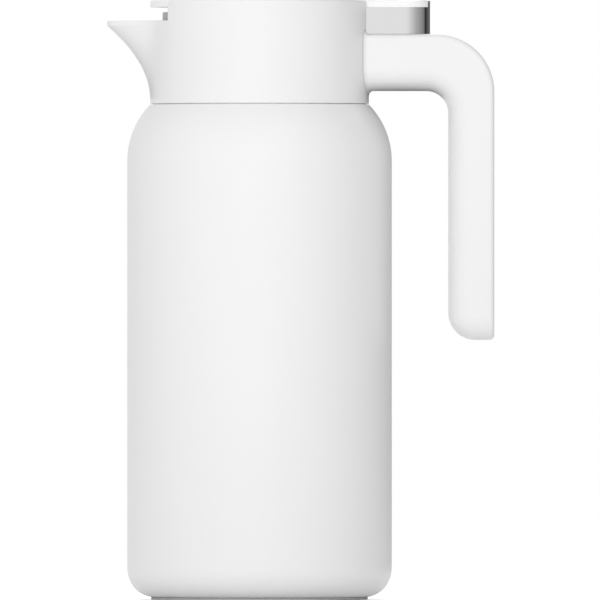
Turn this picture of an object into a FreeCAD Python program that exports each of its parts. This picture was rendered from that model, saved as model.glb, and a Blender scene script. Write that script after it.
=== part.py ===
"""Insulated kettle with a rocking lid, as a parametric document in millimetres.

The kettle stands on z = 0 with its body's axis on Z. The handle points to +X and the spout to -X.
Pressing the thumb lever turns the lid about a pin along Y, which lifts the valve in the stopper.
"""
import FreeCAD, Part
import math
import os
import re

import Sketcher
from FreeCAD import Rotation, Vector

SIZES = {
    # Clearances shared by all pieces
    "overrun": 1.0,
    "seat_clearance": 0.05,
    "pin_clearance": 0.05,
    "free_clearance": 0.3,
    # Jacket and foot
    "shell_radius": 63.5,
    "shell_wall": 0.8,
    "shell_corner": 13.4,
    "shoulder_arc": 38.6,
    "seam_height": 237.6,
    "neck_radius": 46.5,
    "neck_height": 12.4,
    "foot_inset": 11.5,
    "foot_width": 8.0,
    "foot_height": 1.2,
    "foot_edge": 0.4,
    "base_lip": 4.1,
    "base_lap": 2.0,
    "base_wall": 0.8,
    "port_radius": 1.5,
    "port_seal_radius": 4.0,
    "port_seal_height": 0.7,
    # Flask inside the jacket
    "vacuum_gap": 5.0,
    "base_gap": 7.0,
    "liner_wall": 0.6,
    "liner_corner": 12.0,
    "mouth_radius": 44.0,
    "getter_radius": 8.0,
    "getter_height": 3.0,
    "getter_rim": 1.0,
    "getter_offset": 24.0,
    "foil_wall": 0.2,
    "foil_clearance": 0.15,
    "foil_margin": 12.0,
    # Collar and spout
    "collar_radius": 52.5,
    "collar_wall": 2.6,
    "collar_height": 49.7,
    "collar_edge": 0.5,
    "seam_gap": 0.45,
    "seam_depth": 1.4,
    "neck_ring_radius": 48.8,
    "neck_ring_height": 8.0,
    "gasket_height": 1.4,
    "ledge_wall": 3.0,
    "ledge_reveal": 0.5,
    "spout_reach": 20.6,
    "spout_spread": 10.9,
    "spout_foot": 2.4,
    "spout_rim": 40.2,
    "spout_band": 2.4,
    "channel_foot": 9.4,
    "notch_half": 28.8,
    # Handle
    "handle_rise": 33.4,
    "handle_width": 32.0,
    "handle_reach": 112.6,
    "handle_length": 146.4,
    "arm_height": 26.9,
    "grip_depth": 22.0,
    "outer_corner": 27.4,
    "inner_corner": 10.6,
    "tip_corner": 13.0,
    "palm_edge": 10.8,
    "back_edge": 2.4,
    "root_edge": 2.3,
    "handle_wall": 3.5,
    "cover_wall": 2.0,
    "cover_rail": 4.2,
    "cover_ledge": 1.2,
    "cover_margin": 8.0,
    "cover_clearance": 0.15,
    "handle_screw_radius": 1.5,
    "handle_screw_length": 14.0,
    "handle_screw_spread": 8.0,
    "handle_screw_rise": 4.2,
    # Lid, lever and pin
    "lid_radius": 48.8,
    "lid_thickness": 3.3,
    "lid_rise": 0.3,
    "lid_edge": 0.8,
    "lid_gap": 0.4,
    "press_angle": 9.0,
    "pin_offset": 34.0,
    "pin_drop": 2.7,
    "pin_radius": 1.2,
    "lever_end": 81.9,
    "lever_half": 11.2,
    "lever_tip": 1.1,
    "lever_clearance": 0.5,
    "thumb_center": 71.8,
    "thumb_length": 11.5,
    "thumb_depth": 0.9,
    "skirt_height": 12.9,
    "skirt_start": 49.7,
    "skirt_wall": 1.4,
    "skirt_roof": 1.2,
    "frame_front": 6.0,
    "frame_half": 8.0,
    "frame_height": 3.3,
    "lug_radius": 2.6,
    "fork_drop": 11.3,
    "fork_height": 2.0,
    "fork_half": 2.0,
    "fork_leg": 2.2,
    "fork_clearance": 0.6,
    "lid_screw_radius": 1.2,
    "lid_screw_grip": 2.1,
    "front_screw_place": 12.0,
    "middle_screw_place": 24.0,
    "rear_screw_place": 55.0,
    "tip_screw_place": 63.0,
    "screw_head_height": 1.6,
    "screw_head_radius": 2.6,
    "screw_socket_radius": 1.2,
    "screw_socket_depth": 0.9,
    # Stopper
    "cup_radius": 46.5,
    "cup_flare": 0.4,
    "cup_wall": 2.2,
    "cup_gap": 2.5,
    "floor_wall": 2.2,
    "window_half": 20.0,
    "window_sill": 3.0,
    "window_hide": 1.2,
    "rim_seal_height": 1.2,
    "rim_seal_gap": 0.2,
    "rim_seal_width": 3.0,
    "barrel_radius": 42.6,
    "barrel_wall": 2.6,
    "barrel_depth": 28.0,
    "groove_depth": 1.2,
    "groove_height": 8.0,
    "groove_place": 11.0,
    "tube_radius": 17.0,
    "tube_wall": 1.8,
    "hub_radius": 4.6,
    "hub_drop": 3.0,
    "drain_radius": 4.0,
    "drain_pitch": 10.6,
    "drain_count": 5,
    "base_plate_height": 2.5,
    "foam_clearance": 0.2,
    "ear_radius": 2.3,
    "ear_width": 3.2,
    "ear_side_gap": 0.4,
    # Valve
    "seat_radius": 11.0,
    "seat_lip": 1.6,
    "seat_height": 1.0,
    "seat_gap": 0.1,
    "valve_seal_height": 1.6,
    "valve_seal_bore": 6.0,
    "head_radius": 14.0,
    "head_height": 3.0,
    "head_bore": 2.0,
    "stem_radius": 2.0,
    "button_radius": 4.5,
    "button_height": 2.6,
    "button_bore": 1.4,
    "button_edge": 0.8,
    "spring_radius": 6.2,
    "spring_wire": 1.0,
    "spring_turns": 6,
    "spring_clearance": 0.1,
}

doc = FreeCAD.newDocument("InsulatedKettle")
sheet = doc.addObject("Spreadsheet::Sheet", "Sizes")
for row, (alias, number) in enumerate(SIZES.items(), start=1):
    sheet.set(f"A{row}", alias)
    sheet.set(f"B{row}", str(number))
    sheet.setAlias(f"B{row}", alias)
doc.recompute()

# Heights and radii worked out from the sheet, as formulas in its names
SHOULDER_AXIS = "(shell_radius - shoulder_arc)"
SHOULDER_START = f"(seam_height - sqrt(shoulder_arc^2 - (collar_radius - {SHOULDER_AXIS})^2))"
NECK_TOP = "(seam_height + neck_height)"
FOOT_RADIUS = "(shell_radius - foot_inset)"
BASE_OPENING = "(shell_radius - shell_corner - base_lip)"
BASE_UNDER = "(foot_height + shell_wall)"
BASE_TOP = f"({BASE_UNDER} + base_wall)"
LINER_RADIUS = "(shell_radius - shell_wall - vacuum_gap)"
LINER_FLOOR = f"({BASE_TOP} + base_gap)"
LINER_ARC = "(shoulder_arc - shell_wall - vacuum_gap)"
MOUTH_TOP = f"({NECK_TOP} + liner_wall)"
LEDGE_UNDER = f"({MOUTH_TOP} + gasket_height)"
LEDGE_TOP = f"({LEDGE_UNDER} + ledge_wall)"
COLLAR_BORE = "(collar_radius - collar_wall)"
COLLAR_TOP = "(seam_height + collar_height)"
SPOUT_TOP = "(seam_height + spout_rim)"
BAND_UNDER = f"({SPOUT_TOP} - spout_band)"
LID_TOP = f"({COLLAR_TOP} + lid_rise)"
LID_UNDER = f"({LID_TOP} - lid_thickness)"
PIN_HEIGHT = f"({LID_UNDER} - pin_drop)"
SKIRT_UNDER = f"({LID_UNDER} - skirt_height)"
HANDLE_TOP = "(seam_height + handle_rise)"
ARM_UNDER = f"({HANDLE_TOP} - arm_height)"
GRIP_UNDER = f"({HANDLE_TOP} - handle_length)"
GRIP_INNER = "(handle_reach - grip_depth)"
CORNER_START = "(handle_reach - outer_corner)"
POCKET_FLOOR = (
    f"({PIN_HEIGHT} - (lever_end - pin_offset) * sin(press_angle)"
    f" - ({PIN_HEIGHT} - {SKIRT_UNDER}) * cos(press_angle) - lever_clearance)"
)
NOTCH_FLOOR = (
    f"({PIN_HEIGHT} - (collar_radius + lever_clearance - pin_offset) * sin(press_angle)"
    f" - ({PIN_HEIGHT} - {SKIRT_UNDER}) * cos(press_angle) - lever_clearance)"
)
FLOOR_UNDER = f"({LEDGE_TOP} + rim_seal_gap + rim_seal_height)"
FLOOR_TOP = f"({FLOOR_UNDER} + floor_wall)"
CUP_TOP = f"({LID_UNDER} - cup_gap)"
BARREL_UNDER = f"({FLOOR_UNDER} - barrel_depth)"
BARREL_BORE = "(barrel_radius - barrel_wall)"
PLATE_TOP = f"({BARREL_UNDER} + base_plate_height)"
GROOVE_TOP = f"({FLOOR_UNDER} - groove_place)"
GROOVE_UNDER = f"({GROOVE_TOP} - groove_height)"
SEAL_UNDER = f"({PLATE_TOP} + seat_height + seat_gap)"
HEAD_UNDER = f"({SEAL_UNDER} + valve_seal_height)"
HEAD_TOP = f"({HEAD_UNDER} + head_height)"
FORK_UNDER = f"({LID_UNDER} - fork_drop)"
FORK_TOP = f"({FORK_UNDER} + fork_height)"
BUTTON_UNDER = f"({FORK_TOP} + fork_clearance)"
BUTTON_TOP = f"({BUTTON_UNDER} + button_height)"
EAR_INNER = "(frame_half + ear_side_gap)"
EAR_OUTER = f"({EAR_INNER} + ear_width)"
HANDLE_SCREW_HEIGHT = f"({LEDGE_TOP} + handle_screw_rise)"
HANDLE_SCREW_SEAT = f"sqrt({COLLAR_BORE}^2 - (handle_screw_spread - screw_head_radius)^2)"

ALONG_X = Rotation(Vector(0, 1, 0), 90)
ALONG_Y = Rotation(Vector(1, 0, 0), -90)
ALIAS = re.compile(r"[a-z_]+")


def bound(formula):
    """A formula in the sheet's names, as an expression that any object can hold."""
    return ALIAS.sub(lambda word: f"Sizes.{word[0]}" if word[0] in SIZES else word[0], formula)


def worth(formula):
    """The number that a formula in the sheet's names gives."""
    return float(sheet.evalExpression(bound(formula)))


def place(piece, across="0", along="0", up="0", turn=None):
    """Bind where a piece stands, and turn it if asked."""
    if turn:
        piece.Placement.Rotation = turn
    for axis, formula in zip("xyz", (across, along, up)):
        if formula != "0":
            piece.setExpression(f"Placement.Base.{axis}", bound(formula))
    return piece


def new_body(name):
    return doc.addObject("PartDesign::Body", name)


def arc_between(start, end, radius, turn):
    """The short arc from start to end that bends left or right."""
    half = (end - start) * 0.5
    side = Vector(-half.y, half.x, 0).normalize()
    if turn == "right":
        side = side * -1
    rise = math.sqrt(max(radius**2 - half.Length**2, 0))
    center = start + half + side * rise
    first, last = (start, end) if turn == "left" else (end, start)
    angles = [math.atan2(point.y - center.y, point.x - center.x) for point in (first, last)]
    return Part.ArcOfCircle(Part.Circle(center, Vector(0, 0, 1), radius), *angles)


def sketch_outline(body, role, corners):
    """A closed sketch on one of the body's origin planes, every corner bound to the sheet.

    A corner is (across, up). A corner (across, up, radius, turn) starts an arc to the next one.
    """
    sketch = body.newObject("Sketcher::SketchObject", f"{body.Name}_outline")
    plane = next(item for item in body.Origin.OriginFeatures if item.Role == role)
    sketch.AttachmentSupport = (plane, [""])
    sketch.MapMode = "FlatFace"
    points = [Vector(worth(corner[0]), worth(corner[1]), 0) for corner in corners]
    ends = []
    for index, corner in enumerate(corners):
        start, end = points[index], points[(index + 1) % len(points)]
        if len(corner) == 2:
            edge = sketch.addGeometry(Part.LineSegment(start, end), False)
            ends.append((edge, 1, 2))
        else:
            radius, turn = corner[2:]
            edge = sketch.addGeometry(arc_between(start, end, worth(radius), turn), False)
            ends.append((edge, 1, 2) if turn == "left" else (edge, 2, 1))
            rule = sketch.addConstraint(Sketcher.Constraint("Radius", edge, worth(radius)))
            sketch.setExpression(f"Constraints[{rule}]", bound(radius))
    for index, (edge, first, last) in enumerate(ends):
        next_edge, next_first, _ = ends[(index + 1) % len(ends)]
        sketch.addConstraint(Sketcher.Constraint("Coincident", edge, last, next_edge, next_first))
        for kind, axis, formula in zip(("DistanceX", "DistanceY"), (-2, -1), corners[index]):
            if formula == "0":
                sketch.addConstraint(Sketcher.Constraint("PointOnObject", edge, first, axis))
            else:
                rule = sketch.addConstraint(
                    Sketcher.Constraint(kind, -1, 1, edge, first, worth(formula))
                )
                sketch.setExpression(f"Constraints[{rule}]", bound(formula))
    return sketch


def turned(name, corners):
    """A round piece: an outline of (radius, height) corners turned about the body's axis."""
    body = new_body(name)
    sketch = sketch_outline(body, "XZ_Plane", corners)
    turning = body.newObject("PartDesign::Revolution", f"{name}_turned")
    turning.Profile = sketch
    turning.ReferenceAxis = (sketch, ["V_Axis"])
    turning.Angle = 360
    return body


def padded(name, role, corners, length, symmetric=False):
    """A body padded from an outline, to both sides of its plane if symmetric."""
    body = new_body(name)
    pad = body.newObject("PartDesign::Pad", f"{name}_pad")
    pad.Profile = sketch_outline(body, role, corners)
    pad.SideType = "Symmetric" if symmetric else "One side"
    pad.setExpression("Length", bound(length))
    return body


def rounded(body, radius, wanted):
    """Round the body's edges that pass the test, as one fillet feature."""
    doc.recompute()
    base = body.Tip
    edges = [f"Edge{i}" for i, edge in enumerate(base.Shape.Edges, start=1) if wanted(edge)]
    fillet = body.newObject("PartDesign::Fillet", f"{body.Name}_{radius}")
    fillet.Base = (base, edges)
    fillet.setExpression("Radius", bound(radius))
    return body


def cylinder(name, radius, height, across="0", along="0", up="0", turn=None):
    piece = doc.addObject("Part::Cylinder", name)
    piece.setExpression("Radius", bound(radius))
    piece.setExpression("Height", bound(height))
    return place(piece, across, along, up, turn)


def block(name, length, width, height, across, along, up):
    piece = doc.addObject("Part::Box", name)
    for side, formula in (("Length", length), ("Width", width), ("Height", height)):
        piece.setExpression(side, bound(formula))
    return place(piece, across, along, up)


def joined(name, pieces):
    fuse = doc.addObject("Part::MultiFuse", name)
    fuse.Shapes = pieces
    fuse.Refine = True
    return fuse


def grouped(name, pieces):
    group = doc.addObject("Part::Compound", name)
    group.Links = pieces
    return group


def cut(name, base, tools):
    """The base with every tool taken out of it."""
    piece = doc.addObject("Part::Cut", name)
    piece.Base = base
    piece.Tool = tools[0] if len(tools) == 1 else grouped(f"{name}_tools", tools)
    piece.Refine = True
    return piece


def softened(name, base, radius, wanted):
    """Round the edges of a finished piece that pass the test."""
    doc.recompute()
    fillet = doc.addObject("Part::Fillet", name)
    fillet.Base = base
    size = worth(radius)
    edges = enumerate(base.Shape.Edges, start=1)
    fillet.Edges = [(index, size, size) for index, edge in edges if wanted(edge)]
    return fillet


MATCH_SHARE = 1e-5


def same(first, second):
    """Whether two lengths agree, but for rounding."""
    return math.isclose(first, second, rel_tol=MATCH_SHARE)


def lies_at(edge, height):
    """Whether an edge lies level at a height."""
    return same(edge.BoundBox.ZMin, height) and same(edge.BoundBox.ZMax, height)


def middle_of(edge):
    return edge.valueAt((edge.FirstParameter + edge.LastParameter) / 2)


def make_outer_shell():
    inner_end = (
        f"{SHOULDER_AXIS} + sqrt((shoulder_arc - shell_wall)^2"
        f" - (seam_height - shell_wall - {SHOULDER_START})^2)"
    )
    return turned("outer_shell", [
        (BASE_OPENING, "foot_height"),
        ("shell_radius - shell_corner", "foot_height", "shell_corner", "left"),
        ("shell_radius", "foot_height + shell_corner"),
        ("shell_radius", SHOULDER_START, "shoulder_arc", "left"),
        ("collar_radius", "seam_height"),
        ("neck_radius", "seam_height"),
        ("neck_radius", NECK_TOP),
        ("neck_radius - shell_wall", NECK_TOP),
        ("neck_radius - shell_wall", "seam_height - shell_wall"),
        (inner_end, "seam_height - shell_wall", "shoulder_arc - shell_wall", "right"),
        ("shell_radius - shell_wall", SHOULDER_START),
        ("shell_radius - shell_wall", "foot_height + shell_corner", "shell_corner - shell_wall", "right"),
        ("shell_radius - shell_corner", BASE_UNDER),
        (BASE_OPENING, BASE_UNDER),
    ])


def make_inner_liner():
    neck = "mouth_radius + liner_wall"
    inner_corner = "liner_corner - liner_wall"
    outer_end = f"{SHOULDER_START} + sqrt({LINER_ARC}^2 - ({neck} - {SHOULDER_AXIS})^2)"
    inner_end = f"{SHOULDER_START} + sqrt(({LINER_ARC} - liner_wall)^2 - (mouth_radius - {SHOULDER_AXIS})^2)"
    return turned("inner_liner", [
        ("0", LINER_FLOOR),
        (f"{LINER_RADIUS} - liner_corner", LINER_FLOOR, "liner_corner", "left"),
        (LINER_RADIUS, f"{LINER_FLOOR} + liner_corner"),
        (LINER_RADIUS, SHOULDER_START, LINER_ARC, "left"),
        (neck, outer_end),
        (neck, NECK_TOP),
        ("neck_radius", NECK_TOP),
        ("neck_radius", MOUTH_TOP),
        ("mouth_radius", MOUTH_TOP),
        ("mouth_radius", inner_end, f"{LINER_ARC} - liner_wall", "right"),
        (f"{LINER_RADIUS} - liner_wall", SHOULDER_START),
        (f"{LINER_RADIUS} - liner_wall", f"{LINER_FLOOR} + liner_corner", inner_corner, "right"),
        (f"{LINER_RADIUS} - liner_corner", f"{LINER_FLOOR} + liner_wall"),
        ("0", f"{LINER_FLOOR} + liner_wall"),
    ])


def ring(name, inner, outer, under, top):
    """A plain round ring of rectangular section."""
    return turned(name, [(inner, under), (outer, under), (outer, top), (inner, top)])


def make_foot_ring():
    inner = f"{FOOT_RADIUS} - foot_width"
    return turned("foot_ring", [
        (inner, "0"),
        (f"{FOOT_RADIUS} - foot_edge", "0", "foot_edge", "left"),
        (FOOT_RADIUS, "foot_edge"),
        (FOOT_RADIUS, "foot_height"),
        (inner, "foot_height"),
    ])


def make_port_seal():
    """A bead of solder: a low dome under the base disc and a plug in its port."""
    plug = "port_radius - seat_clearance"
    dome = "(port_seal_radius^2 + port_seal_height^2) / (2 * port_seal_height)"
    return turned("vacuum_port_seal", [
        ("0", f"{BASE_UNDER} - port_seal_height", dome, "left"),
        ("port_seal_radius", BASE_UNDER),
        (plug, BASE_UNDER),
        (plug, BASE_TOP),
        ("0", BASE_TOP),
    ])


def make_getter():
    """A shallow tray of getter metal that stands on the base disc."""
    tray = cylinder("getter_tray", "getter_radius", "getter_height", "getter_offset", "0", BASE_TOP)
    hollow = cylinder(
        "getter_hollow", "getter_radius - getter_rim", "getter_height",
        "getter_offset", "0", f"{BASE_TOP} + getter_height / 2",
    )
    return cut("vacuum_getter", tray, [hollow])


BEAK_POINTS = 32
BEAK_LIMIT_SHARE = 3.6


def beak_section(radius, reach, height):
    """A level wire: the collar's circle, drawn out towards -X into the beak of the spout."""
    spread = math.radians(worth("spout_spread"))
    limit = spread * BEAK_LIMIT_SHARE
    least = math.exp(-BEAK_LIMIT_SHARE**2)
    points = []
    for step in range(BEAK_POINTS + 1):
        turn = limit * (2 * step / BEAK_POINTS - 1)
        bump = (math.exp(-(turn / spread)**2) - least) / (1 - least)
        distance = radius + reach * bump
        points.append(Vector(-distance * math.cos(turn), -distance * math.sin(turn), height))
    first, last = points[0], points[-1]
    beak = Part.BSplineCurve()
    beak.interpolate(
        Points=points,
        InitialTangent=Vector(-first.y, first.x, 0),
        FinalTangent=Vector(-last.y, last.x, 0),
    )
    round_side = Part.Arc(last, Vector(radius, 0, height), first)
    return Part.Wire([beak.toShape(), round_side.toShape()])


SPOUT_LEVEL_SHARES = (0, 0.2, 0.4, 0.6, 0.8, 1)


def beak_solid(name, radius, foot, under, top):
    """A solid whose beak grows from its foot to the rim band, and then rises straight to its top.

    The beak's reach grows as the square of the height above the foot.
    """
    band = worth(BAND_UNDER)
    low, start, high = worth(under), worth(foot), worth(top)
    sections = []
    for share in SPOUT_LEVEL_SHARES:
        height = low + share * (band - low)
        rise = max(height - start, 0) / (band - start)
        sections.append(beak_section(worth(radius), worth("spout_reach") * rise**2, height))
    grown = Part.makeLoft(sections, True)
    straight = Part.Face(sections[-1]).extrude(Vector(0, 0, high - band))
    piece = doc.addObject("Part::Feature", name)
    piece.Shape = grown.fuse(straight)
    return piece


def handle_screw_places():
    """The two screws' places across the handle, one each side of the middle."""
    return (("left", "-handle_screw_spread"), ("right", "handle_screw_spread"))


def is_collar_top(edge):
    return lies_at(edge, worth(COLLAR_TOP))


def is_spout_rim(edge):
    """A test for the curved edges of the spout's rim."""
    return edge.Curve.TypeId != "Part::GeomLine" and lies_at(edge, worth(SPOUT_TOP))


def make_spout_collar():
    blank = beak_solid(
        "collar_blank", "collar_radius", "seam_height + spout_foot", "seam_height", COLLAR_TOP
    )
    channel = beak_solid(
        "collar_channel", COLLAR_BORE, "seam_height + channel_foot", LEDGE_TOP, f"{COLLAR_TOP} + overrun"
    )
    mouth = cylinder(
        "collar_mouth", "mouth_radius + ledge_reveal", "ledge_wall + 2 * overrun",
        up=f"{LEDGE_UNDER} - overrun",
    )
    skirt = cylinder(
        "collar_skirt", "neck_ring_radius + seat_clearance", f"{LEDGE_UNDER} - seam_height + overrun",
        up="seam_height - overrun",
    )
    seam = ring(
        "collar_seam", "collar_radius - seam_depth", "collar_radius + overrun",
        "seam_height - overrun", "seam_height + seam_gap",
    )
    front = block(
        "collar_front_notch", "spout_reach + collar_radius", "2 * notch_half",
        f"{COLLAR_TOP} - {SPOUT_TOP} + overrun",
        "-(spout_reach + collar_radius + overrun)", "-notch_half", SPOUT_TOP,
    )
    rear = block(
        "collar_rear_notch", "collar_radius", "2 * (lever_half + lever_clearance)",
        f"{COLLAR_TOP} - {NOTCH_FLOOR} + overrun",
        "overrun", "-(lever_half + lever_clearance)", NOTCH_FLOOR,
    )
    hollow = cut("collar_hollow", blank, [channel])
    crowned = softened("collar_crowned", hollow, "collar_edge", is_collar_top)
    tools = [mouth, skirt, seam, front, rear]
    for side, along in handle_screw_places():
        tools.append(cylinder(
            f"collar_screw_hole_{side}", "handle_screw_radius + seat_clearance", "collar_wall * 2",
            f"{HANDLE_SCREW_SEAT} - overrun", along, HANDLE_SCREW_HEIGHT, ALONG_X,
        ))
        tools.append(cylinder(
            f"collar_screw_seat_{side}", "screw_head_radius + seat_clearance", "collar_wall * 2",
            f"{HANDLE_SCREW_SEAT} - collar_wall * 2", along, HANDLE_SCREW_HEIGHT, ALONG_X,
        ))
    return softened("spout_collar", cut("collar_notched", crowned, tools), "collar_edge", is_spout_rim)


def screw(name, radius, length, across, along, up, turn=None):
    """A socket-head screw whose head lies under its own origin and whose shank rises from it."""
    body = turned(name, [
        ("0", "screw_socket_depth - screw_head_height"),
        ("screw_socket_radius", "screw_socket_depth - screw_head_height"),
        ("screw_socket_radius", "-screw_head_height"),
        ("screw_head_radius", "-screw_head_height"),
        ("screw_head_radius", "0"),
        (radius, "0"),
        (radius, length),
        ("0", length),
    ])
    return place(body, across, along, up, turn)


def make_handle_screws():
    return grouped("handle_screws", [
        screw(
            f"handle_screw_{side}", "handle_screw_radius", "handle_screw_length",
            HANDLE_SCREW_SEAT, along, HANDLE_SCREW_HEIGHT, ALONG_X,
        )
        for side, along in handle_screw_places()
    ])


def in_side_face(edge):
    """A test for edges that lie in one of the handle's two side faces."""
    box = edge.BoundBox
    return same(box.YMin, box.YMax) and same(abs(box.YMin), worth("handle_width / 2"))


def make_handle_blank():
    """The cranked handle: flat back, rounded palm side, and a flare where it meets the collar."""
    blank = padded("handle_blank", "XZ_Plane", [
        ("overrun", HANDLE_TOP),
        ("overrun", ARM_UNDER),
        (f"{GRIP_INNER} - inner_corner", ARM_UNDER, "inner_corner", "right"),
        (GRIP_INNER, f"{ARM_UNDER} - inner_corner"),
        (GRIP_INNER, f"{GRIP_UNDER} + tip_corner", "tip_corner", "left"),
        (f"{GRIP_INNER} + tip_corner", GRIP_UNDER),
        ("handle_reach", GRIP_UNDER),
        ("handle_reach", f"{HANDLE_TOP} - outer_corner", "outer_corner", "left"),
        (CORNER_START, HANDLE_TOP),
    ], "handle_width", symmetric=True)
    root, top, back = worth("overrun"), worth(HANDLE_TOP), worth("handle_reach")
    corner_start, corner_end = worth(CORNER_START), worth(f"{HANDLE_TOP} - outer_corner")

    def is_top(edge):
        middle = middle_of(edge)
        in_corner = middle.x > corner_start and middle.z > corner_end
        return in_side_face(edge) and (in_corner or same(middle.z, top))

    def is_back(edge):
        return same(edge.BoundBox.XMin, back) and middle_of(edge).z < corner_end * (1 - MATCH_SHARE)

    def is_outer(edge):
        return is_top(edge) or is_back(edge)

    def is_palm(edge):
        return in_side_face(edge) and not is_outer(edge) and not same(edge.BoundBox.XMax, root)

    rounded(blank, "palm_edge", is_palm)
    return rounded(blank, "back_edge", is_outer)


def on_collar_wall(edge):
    """A test for the edges where the handle meets the collar's round wall."""
    radius = worth("collar_radius + seat_clearance")
    low, high = worth(f"{ARM_UNDER} - overrun"), worth(f"{HANDLE_TOP} + overrun")
    points = [edge.valueAt(edge.FirstParameter), middle_of(edge), edge.valueAt(edge.LastParameter)]
    on_wall = all(same(math.hypot(point.x, point.y), radius) for point in points)
    return on_wall and all(low < point.z < high and point.x > 0 for point in points)


def flared(name, base):
    """The handle with a hollow round at its root, trimmed to the collar's wall."""
    radius = "collar_radius + seat_clearance"
    core = cylinder("handle_root_core", radius, "2 * arm_height", up=f"{ARM_UNDER} - arm_height / 2")
    both = joined("handle_on_core", [base, core])
    return cut(name, softened("handle_flare", both, "root_edge", on_collar_wall), [core])


NOSE_AXIS = "(lever_end - lever_half)"


def stadium(name, half, start, under, height):
    """A block with a half-round end, in line with the round end of the thumb lever."""
    body = padded(name, "XY_Plane", [
        (start, f"-({half})"),
        (NOSE_AXIS, f"-({half})", half, "left"),
        (f"{NOSE_AXIS} + {half}", "0", half, "left"),
        (NOSE_AXIS, half),
        (start, half),
    ], height)
    return place(body, up=under)


def cover_outline(gap, under_gap, proud):
    """The strip along the handle's back, with a gap at its ends and under it, standing proud."""
    start = f"{CORNER_START} - cover_ledge - {gap}"
    end = f"{GRIP_UNDER} + cover_margin - {gap}"
    depth = f"(cover_wall + {under_gap})"
    return [
        (start, f"{HANDLE_TOP} + {proud}"),
        (CORNER_START, f"{HANDLE_TOP} + {proud}", f"outer_corner + {proud}", "right"),
        (f"handle_reach + {proud}", f"{HANDLE_TOP} - outer_corner"),
        (f"handle_reach + {proud}", end),
        (f"handle_reach - {depth}", end),
        (f"handle_reach - {depth}", f"{HANDLE_TOP} - outer_corner", f"outer_corner - {depth}", "left"),
        (CORNER_START, f"{HANDLE_TOP} - {depth}"),
        (start, f"{HANDLE_TOP} - {depth}"),
    ]


def make_handle_cover():
    return padded(
        "handle_cover", "XZ_Plane", cover_outline("0", "0", "0"),
        "handle_width - 2 * cover_rail", symmetric=True,
    )


def make_handle():
    recess = padded(
        "handle_recess", "XZ_Plane", cover_outline("cover_clearance", "seat_clearance", "overrun"),
        "handle_width - 2 * cover_rail + 2 * cover_clearance", symmetric=True,
    )
    inner_arc = "(inner_corner + handle_wall)"
    arc_rise = f"sqrt({inner_arc}^2 - ({CORNER_START} - {GRIP_INNER} + inner_corner)^2)"
    hollow_under = f"{GRIP_UNDER} + cover_margin + cover_ledge"
    hollow = padded("handle_hollow", "XZ_Plane", [
        (CORNER_START, f"{HANDLE_TOP} - cover_wall", "outer_corner - cover_wall", "right"),
        ("handle_reach - cover_wall", f"{HANDLE_TOP} - outer_corner"),
        ("handle_reach - cover_wall", hollow_under),
        (f"{GRIP_INNER} + handle_wall", hollow_under),
        (f"{GRIP_INNER} + handle_wall", f"{ARM_UNDER} - inner_corner", inner_arc, "left"),
        (CORNER_START, f"{ARM_UNDER} - inner_corner + {arc_rise}"),
    ], "handle_width - 2 * cover_rail - 2 * cover_ledge", symmetric=True)
    pocket = stadium(
        "handle_pocket", "(lever_half + lever_clearance)", "overrun",
        POCKET_FLOOR, f"{HANDLE_TOP} - {POCKET_FLOOR} + root_edge + overrun",
    )
    tools = [recess, hollow, pocket]
    for side, along in handle_screw_places():
        tools.append(cylinder(
            f"handle_pilot_{side}", "handle_screw_radius + seat_clearance", "handle_screw_length + overrun",
            HANDLE_SCREW_SEAT, along, HANDLE_SCREW_HEIGHT, ALONG_X,
        ))
    return cut("handle", flared("handle_flared", make_handle_blank()), tools)


def make_stopper_blank():
    """Cup, floor, barrel and flow tube in one moulding, with a guide hub for the valve stem."""
    bore = "stem_radius + pin_clearance"
    tube_outer = "tube_radius + tube_wall"
    groove = "barrel_radius - groove_depth"
    return turned("stopper_blank", [
        (bore, f"{FLOOR_UNDER} - hub_drop"),
        ("hub_radius", f"{FLOOR_UNDER} - hub_drop"),
        ("hub_radius", FLOOR_UNDER),
        ("tube_radius", FLOOR_UNDER),
        ("tube_radius", PLATE_TOP),
        (tube_outer, PLATE_TOP),
        (tube_outer, FLOOR_UNDER),
        (BARREL_BORE, FLOOR_UNDER),
        (BARREL_BORE, BARREL_UNDER),
        ("barrel_radius", BARREL_UNDER),
        ("barrel_radius", GROOVE_UNDER),
        (groove, GROOVE_UNDER),
        (groove, GROOVE_TOP),
        ("barrel_radius", GROOVE_TOP),
        ("barrel_radius", FLOOR_UNDER),
        ("cup_radius + cup_flare", FLOOR_UNDER),
        ("cup_radius", CUP_TOP),
        ("cup_radius - cup_wall", CUP_TOP),
        ("cup_radius - cup_wall", FLOOR_TOP),
        (bore, FLOOR_TOP),
    ])


def both_sides(inner, outer):
    """The start of a block on the left side and on the right side of the middle."""
    return (("left", f"-({outer})"), ("right", inner))


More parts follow.
